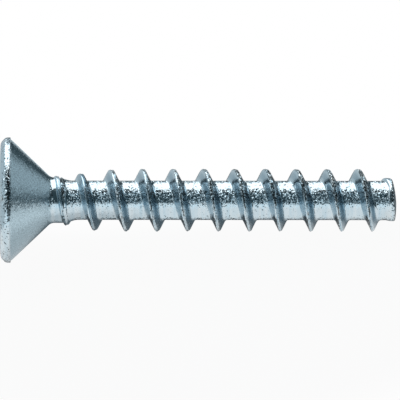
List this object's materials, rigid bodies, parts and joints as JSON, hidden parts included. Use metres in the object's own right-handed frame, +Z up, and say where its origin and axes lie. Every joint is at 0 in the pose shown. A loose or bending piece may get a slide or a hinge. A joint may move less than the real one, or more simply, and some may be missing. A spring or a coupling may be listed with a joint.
{
  "type": "countersunk thread-forming screw for plastics",
  "caption": "Short countersunk steel screw with a coarse, sharp, right-hand thread and a blunt tip, driven into plastic bosses through a cross recess.",
  "frame": {"origin": "on the table, under the middle of the lying screw", "axes": "+X along the screw as seen from above, from head to tip; +Z up from the table; the axis of the screw leans down towards the tip by 5.34 degrees, because the head is wider than the thread"},
  "size_m": [0.0254, 0.008, 0.008],
  "materials": {
    "zinc_plated_steel": "bright zinc plating, blue passivated, on cold-forged steel"
  },
  "bodies": {
    "root": {"screw": "zinc_plated_steel"}
  },
  "joints": []
}
